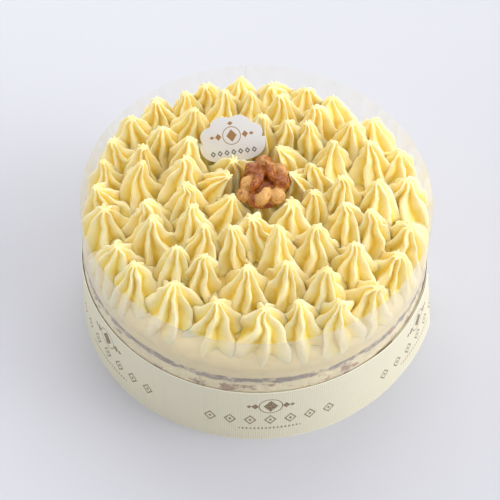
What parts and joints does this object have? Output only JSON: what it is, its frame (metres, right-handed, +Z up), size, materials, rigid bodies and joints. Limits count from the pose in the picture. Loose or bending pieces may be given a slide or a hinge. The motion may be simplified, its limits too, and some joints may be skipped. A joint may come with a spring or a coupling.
{
  "type": "carrot cake",
  "caption": "Round carrot cake covered with rings of piped cream stars, a half walnut and a small card on top, a clear film collar and a paper band round the side.",
  "frame": {"origin": "centre of the flat base of the cake, on the surface it stands on", "axes": "+Z up out of the top of the cake, -Y towards the front, where the card faces, +X to the right seen from the front"},
  "size_m": [0.2067, 0.2008, 0.1175],
  "materials": {
    "piped_cream": "pale butter-yellow piped cream, soft satin sheen",
    "smooth_cream": "smooth ivory cream",
    "cake_crumb": "cake thinly smeared with cream, brown crumb showing through",
    "dark_layer": "dark moist layer",
    "clear_film": "clear glossy plastic film",
    "band_paper": "ivory paper with fine upright ribs and a small brown-gold print",
    "card_paper": "smooth white card with a small brown-gold print",
    "walnut": "brown wrinkled kernel skin with pale broken edges"
  },
  "bodies": {
    "root": {"cake_body": "cake_crumb", "cream_top": "smooth_cream", "dark_layer": "dark_layer", "film_collar": "clear_film", "paper_band": "band_paper", "star_b_01": "piped_cream", "star_b_02": "piped_cream", "star_b_03": "piped_cream", "star_b_04": "piped_cream", "star_b_05": "piped_cream", "star_b_06": "piped_cream", "star_b_07": "piped_cream", "star_b_08": "piped_cream", "star_b_09": "piped_cream", "star_b_10": "piped_cream", "star_b_11": "piped_cream", "star_b_12": "piped_cream", "star_b_13": "piped_cream", "star_b_14": "piped_cream", "star_b_15": "piped_cream", "star_b_16": "piped_cream", "star_b_17": "piped_cream", "star_b_18": "piped_cream", "star_b_19": "piped_cream", "star_b_20": "piped_cream", "star_c_01": "piped_cream", "star_c_02": "piped_cream", "star_c_03": "piped_cream", "star_c_04": "piped_cream", "star_c_05": "piped_cream", "star_c_06": "piped_cream", "star_c_07": "piped_cream", "star_c_08": "piped_cream", "star_c_09": "piped_cream", "star_c_10": "piped_cream", "star_c_11": "piped_cream", "star_c_12": "piped_cream", "star_c_13": "piped_cream", "star_c_14": "piped_cream", "star_c_15": "piped_cream", "star_d_01": "piped_cream", "star_d_02": "piped_cream", "star_d_03": "piped_cream", "star_d_04": "piped_cream", "star_d_05": "piped_cream", "star_d_06": "piped_cream", "star_d_07": "piped_cream", "star_d_08": "piped_cream", "star_d_09": "piped_cream", "star_ring_outer": "piped_cream", "star_seat": "piped_cream", "topper_card": "card_paper", "walnut_half": "walnut"}
  },
  "joints": []
}
